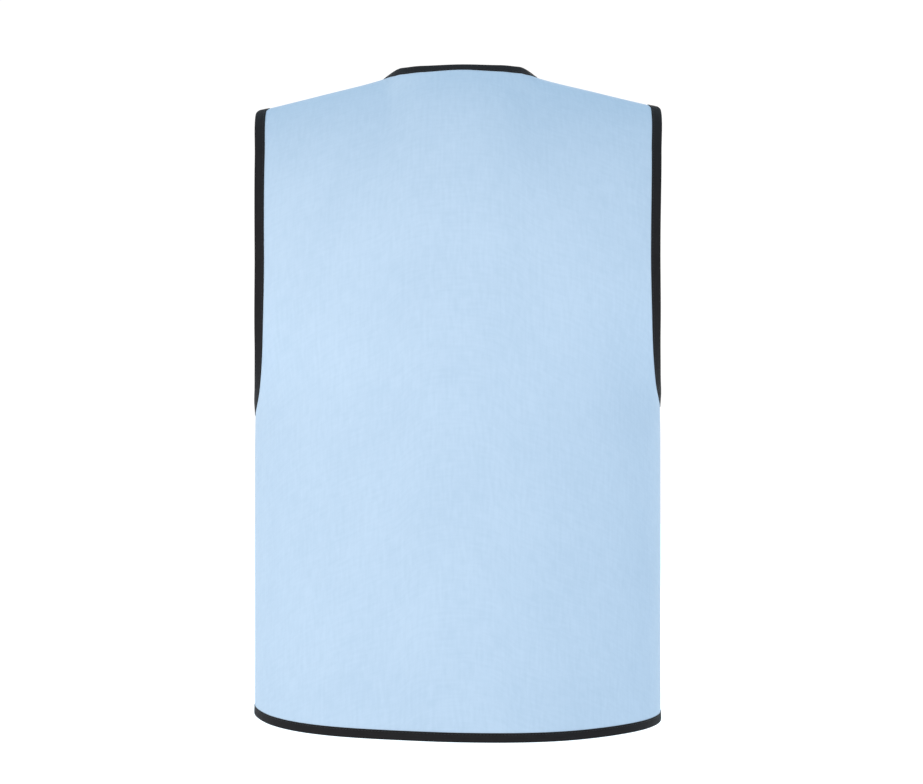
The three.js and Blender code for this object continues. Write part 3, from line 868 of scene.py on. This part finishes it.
# Rows of small repeated shapes, by Geometry Nodes
def row_tree(name, material, make_shape):
    """A tree that sets one shape along each line of its input, every pitch, turned to follow it."""
    tree = bpy.data.node_groups.new(name, "GeometryNodeTree")
    interface = tree.interface
    interface.new_socket("Lines", in_out="INPUT", socket_type="NodeSocketGeometry")
    pitch = interface.new_socket("Pitch", in_out="INPUT", socket_type="NodeSocketFloat")
    size = interface.new_socket("Size", in_out="INPUT", socket_type="NodeSocketVector")
    interface.new_socket("Row", in_out="OUTPUT", socket_type="NodeSocketGeometry")

    def add(kind, **settings):
        return add_node(tree, kind, **settings)

    given = add("NodeGroupInput")
    curve = add("GeometryNodeMeshToCurve")
    spaced = add("GeometryNodeResampleCurve", mode="LENGTH")
    tangent = add("GeometryNodeInputTangent")
    turned = add("FunctionNodeAlignRotationToVector", axis="X")
    instances = add("GeometryNodeInstanceOnPoints")
    whole = add("GeometryNodeRealizeInstances")
    finish = add("GeometryNodeSetMaterial")
    result = add("NodeGroupOutput")
    finish.inputs["Material"].default_value = material
    shape = make_shape(add)
    link = tree.links.new
    link(given.outputs["Lines"], curve.inputs["Mesh"])
    link(curve.outputs["Curve"], spaced.inputs["Curve"])
    link(given.outputs["Pitch"], spaced.inputs["Length"])
    link(spaced.outputs["Curve"], instances.inputs["Points"])
    link(tangent.outputs["Tangent"], turned.inputs["Vector"])
    link(turned.outputs["Rotation"], instances.inputs["Rotation"])
    link(shape, instances.inputs["Instance"])
    link(given.outputs["Size"], instances.inputs["Scale"])
    link(instances.outputs["Instances"], whole.inputs["Geometry"])
    link(whole.outputs["Geometry"], finish.inputs["Geometry"])
    link(finish.outputs["Geometry"], result.inputs["Row"])
    return tree, {"Pitch": pitch.identifier, "Size": size.identifier}


def stitch_shape(add):
    """A ball one unit across, which the size of a stitch draws out."""
    ball = add("GeometryNodeMeshUVSphere")
    ball.inputs["Segments"].default_value = STITCH_SEGMENTS
    ball.inputs["Rings"].default_value = STITCH_RINGS
    ball.inputs["Radius"].default_value = 0.5
    return ball.outputs["Mesh"]


def row_of_shapes(name, lines, tree, pitch, size):
    """A plain mesh of the tree's shape repeated along lines of points."""
    points = []
    edges = []
    for line in lines:
        start = len(points)
        points.extend(tuple(p) for p in line)
        edges.extend((start + i, start + i + 1) for i in range(len(line) - 1))
    source_mesh = bpy.data.meshes.new(name + "_lines")
    source_mesh.from_pydata(points, edges, [])
    source = bpy.data.objects.new(name + "_lines", source_mesh)
    bpy.context.scene.collection.objects.link(source)
    group, sockets = tree
    modifier = source.modifiers.new("row", "NODES")
    modifier.node_group = group
    modifier[sockets["Pitch"]] = pitch
    modifier[sockets["Size"]] = size
    graph = bpy.context.evaluated_depsgraph_get()
    mesh = bpy.data.meshes.new_from_object(source.evaluated_get(graph))
    mesh.name = name
    bpy.data.objects.remove(source)
    return smooth_object(name, mesh)


black_stitches = row_tree("black_stitches", black_thread, stitch_shape)
blue_stitches = row_tree("blue_stitches", blue_thread, stitch_shape)


def tape_stitches(name, line, closed):
    """Stitching through the tape, on its outer and inner face."""
    section_out = next(c["out"] for c in TAPE_OUTER if c["share"] == TAPE_STITCH_AT) * MM
    rows = [on_tape(line, TAPE_STITCH_AT, out) for out in (section_out, -section_out)]
    if closed:
        rows = [np.concatenate([row, row[:1]]) for row in rows]
    return row_of_shapes(name, rows, black_stitches, STITCH_PITCH, STITCH_SIZE)


# Zip
def zip_line():
    """Points and normals down the centre of the front, and the distance of each from the V's point."""
    upper = front_neck_edge()[0, 1]
    fall = np.linspace(upper, fall_at(HEM_DROP), FINE)
    centre = places(0, fall)
    return cloth_point(FRONT, centre, 0), cloth_normal(FRONT, centre), (fall - upper) * CAP_ARC


zip_points, zip_normals, zip_down = zip_line()


def on_zip(down, across, out):
    """Points by distance down the zip, across from its centre and out from the middle of the cloth."""
    point = np.stack([np.interp(down, zip_down, zip_points[:, i]) for i in range(3)], axis=-1)
    normal = np.stack([np.interp(down, zip_down, zip_normals[:, i]) for i in range(3)], axis=-1)
    return point + normal * np.asarray(out)[..., None] + np.asarray(across)[..., None] * np.array([1, 0, 0])


def zip_tapes(material):
    """The two woven tapes that carry the teeth, behind the cloth."""
    down = np.linspace(ZIP_END_GAP, zip_down[-1], ZIP_TAPE_ROWS)
    from_end = np.minimum(down - down[0], down[-1] - down)
    corner = np.clip(1 - from_end / ZIP_TAPE_CORNER, 0, 1)
    wide = ZIP_TAPE_HALF - ZIP_TAPE_CUT * corner**2
    inner = np.full_like(wide, ZIP_TAPE_IN)
    front = np.full_like(wide, ZIP_TAPE_OUT)
    back = front - ZIP_TAPE
    points = []
    faces = []
    uv = []
    for hand in (-1, 1):
        corners = [(inner, front), (wide, front), (wide, back), (inner, back)]
        rings = np.stack([on_zip(down, hand * across, out) for across, out in corners], axis=1)
        first = len(points)
        bar = tube_faces(len(down), len(corners), closed=False)
        faces.extend(tuple(first + i for i in face) for face in bar)
        points.extend(rings.reshape(-1, 3))
        uv.extend((d, x) for d, *row in zip(down, inner, wide, wide, inner) for x in row)
    piece = new_piece("zip_tape", points, faces, uv)
    face_outwards(piece)
    piece.data.materials.append(material)
    return piece


def tooth_shape(add):
    """A block one unit each way with soft edges."""
    block = add("GeometryNodeMeshCube")
    soft = add("GeometryNodeSubdivisionSurface")
    soft.inputs["Level"].default_value = 1
    soft.inputs["Edge Crease"].default_value = TOOTH_CREASE
    soft.id_data.links.new(block.outputs["Mesh"], soft.inputs["Mesh"])
    return soft.outputs["Mesh"]


def zip_teeth(material):
    """Two rows of teeth that mesh along the centre of the front."""
    rows = []
    last = zip_down[-1] - 2 * FOOT_HALF_LENGTH - TOOTH_PITCH / 2
    for hand, lead in ((-1, 0), (1, TOOTH_PITCH / 2)):
        down = np.linspace(ZIP_END_GAP, last, ZIP_TAPE_ROWS) + lead
        rows.append(on_zip(down, np.full_like(down, hand * TOOTH_SIDE), np.full_like(down, TOOTH_OUT)))
    tree = row_tree("zip_teeth", material, tooth_shape)
    return row_of_shapes("zip_teeth", rows, tree, TOOTH_PITCH, TOOTH_SIZE)


def outline(middle, half_length, half_width, lower_half_width, squareness):
    """A rounded outline on the zip: distance down and across, wider or narrower at its lower end."""
    angle = np.linspace(0, 2 * np.pi, OUTLINE_POINTS, endpoint=False)
    power = 2 / squareness
    down = np.sign(np.cos(angle)) * np.abs(np.cos(angle)) ** power
    across = np.sign(np.sin(angle)) * np.abs(np.sin(angle)) ** power
    width = mix(half_width, lower_half_width, (down + 1) / 2)
    return middle + half_length * down, width * across


def plate(shape, low, high, hole=None):
    """Points and faces of a flat plate on the zip between two heights, with a hole if one is given."""
    loops = [(shape, low), (shape, high)]
    if hole is not None:
        loops.extend([(hole, high), (hole, low)])
    points = np.concatenate([on_zip(d, a, np.full_like(d, out)) for (d, a), out in loops])
    return points, tube_faces(len(loops), OUTLINE_POINTS, closed=hole is not None)


def slider_bridge():
    """The arched bridge on the slider, which holds the pull."""
    angle = np.linspace(0, np.pi, BRIDGE_STEPS)
    points = []
    for inward in (0, BRIDGE):
        down = SLIDER_OUTLINE["middle"] + (BRIDGE_HALF_LENGTH - inward) * np.cos(angle)
        out = SLIDER_FACE + (BRIDGE_RISE - inward) * np.sin(angle) ** BRIDGE_POWER
        for across in (-BRIDGE_HALF_WIDTH, BRIDGE_HALF_WIDTH):
            points.append(on_zip(down, np.full_like(down, across), out))
    rings = np.stack([points[0], points[1], points[3], points[2]], axis=1)
    return rings.reshape(-1, 3), tube_faces(len(angle), len(points), closed=False)


def zip_slider(material):
    """Slider body of two plates, its bridge, the pull that hangs from it, and the box at the zip's foot."""
    body = outline(**SLIDER_OUTLINE)
    pull = outline(**PULL_OUTLINE)
    slot = outline(**SLOT_OUTLINE)
    foot_middle = zip_down[-1] - FOOT_HALF_LENGTH
    foot = outline(foot_middle, FOOT_HALF_LENGTH, FOOT_HALF_WIDTH, FOOT_HALF_WIDTH, FOOT_SQUARENESS)
    parts = [
        plate(body, SLIDER_BASE, SLIDER_FACE),
        plate(body, SLIDER_BACK - SLIDER_FACE + SLIDER_BASE, SLIDER_BACK),
        slider_bridge(),
        plate(pull, PULL_BASE, PULL_BASE + PULL, slot),
        plate(foot, SLIDER_BACK, FOOT_FACE),
    ]
    points = []
    faces = []
    for part_points, part_faces in parts:
        first = len(points)
        points.extend(part_points)
        faces.extend(tuple(first + i for i in face) for face in part_faces)
    piece = new_piece("zip_slider", points, faces)
    face_outwards(piece)
    soft = piece.modifiers.new("soft_edges", "BEVEL")
    soft.width = SLIDER_BEVEL
    soft.segments = 2
    soft.limit_method = "ANGLE"
    soft.harden_normals = True
    piece.data.materials.append(material)
    return piece


def zip_stitches(hand):
    """Stitching down one front, through the cloth and the zip's tape."""
    down = np.linspace(ZIP_STITCH_START, zip_down[-1] - HEM_TAPE_WIDTH - ZIP_END_GAP, ZIP_TAPE_ROWS)
    fall = front_neck_edge()[0, 1] + down / CAP_ARC
    place = places(hand * turn_at(ZIP_STITCH_OUT, fall), fall)
    return cloth_point(FRONT, place) + cloth_normal(FRONT, place) * CLOTH / 2


# Build
def keep(piece, slot, *nodes):
    """Puts a finished piece on the part, in place of the CAD nodes it stands for."""
    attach(piece, "root")
    if nodes:
        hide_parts(*nodes)


back_half = half_panel(BACK)
front_half = half_panel(FRONT)
panels = {
    "back_panel": (BACK, np.concatenate([mirrored(back_half[:, :0:-1]), back_half], axis=1)),
    "front_panel_right": (FRONT, front_half),
    "front_panel_left": (FRONT, mirrored(front_half[:, ::-1])),
}
for node, (side, grid) in panels.items():
    piece, cut = panel(node + "_cloth", side, grid, cloth_finish)
    keep(piece, "cloth", node)

tapes = {
    "neck_binding": (neck_line(), False),
    "armhole_binding_left": (armhole_line(-1), True),
    "armhole_binding_right": (armhole_line(1), True),
    "hem_binding": (hem_line(), False),
}
for node, (line, closed) in tapes.items():
    piece, cut = tape(node + "_tape", line, closed, tape_finish)
    stitches = tape_stitches(node + "_stitches", line, closed)
    keep(piece, "binding", node)
    keep(stitches, "binding")

carrier = zip_tapes(tape_finish)
teeth = zip_teeth(zip_finish)
slider = zip_slider(zip_finish)
seam_lines = [zip_stitches(-1), zip_stitches(1)]
zip_seams = row_of_shapes("zip_stitches", seam_lines, blue_stitches, STITCH_PITCH, STITCH_SIZE)
keep(carrier, "zip", "front_zip")
keep(teeth, "zip")
keep(slider, "zip")
keep(zip_seams, "cloth")


# Studio
def make_floor():
    half = FLOOR_HALF
    corners = [(-half, -half, FLOOR), (half, -half, FLOOR), (half, half, FLOOR), (-half, half, FLOOR)]
    floor = new_piece("studio_floor", corners, [(0, 1, 2, 3)])
    material = bpy.data.materials.new("studio_floor")
    material.use_nodes = True
    shader = material.node_tree.nodes["Principled BSDF"]
    shader.inputs["Base Color"].default_value = FLOOR_WHITE
    shader.inputs["Roughness"].default_value = FLOOR_ROUGHNESS
    shader.inputs["Emission Color"].default_value = (1, 1, 1, 1)
    shader.inputs["Emission Strength"].default_value = FLOOR_GLOW
    floor.data.materials.append(material)


def make_light(name, place, size, power):
    data = bpy.data.lights.new(name, "AREA")
    data.shape = "DISK"
    data.size = size
    data.energy = power
    data.color = LIGHT_COLOUR
    light = bpy.data.objects.new(name, data)
    light.location = place
    aim = Vector(LIGHT_TARGET) - Vector(place)
    light.rotation_euler = aim.to_track_quat("-Z", "Y").to_euler()
    bpy.context.scene.collection.objects.link(light)


def make_world():
    """White light from all round, which turns bluer overhead."""
    world = bpy.data.worlds.new("studio")
    world.use_nodes = True
    tree = world.node_tree
    direction = add_node(tree, "ShaderNodeTexCoord")
    parts = add_node(tree, "ShaderNodeSeparateXYZ")
    height = add_node(tree, "ShaderNodeMapRange", interpolation_type="SMOOTHSTEP")
    height.inputs["From Min"].default_value = OVERHEAD_FROM
    tree.links.new(direction.outputs["Generated"], parts.inputs[0])
    tree.links.new(parts.outputs["Z"], height.inputs["Value"])
    colour = add_blend(tree, height.outputs[0], HORIZON_LIGHT, OVERHEAD_LIGHT)
    tree.links.new(colour, tree.nodes["Background"].inputs["Color"])
    scene = bpy.context.scene
    scene.world = world
    scene.view_settings.view_transform = "Standard"


make_floor()
make_world()
for light in LIGHTS:
    make_light(**light)
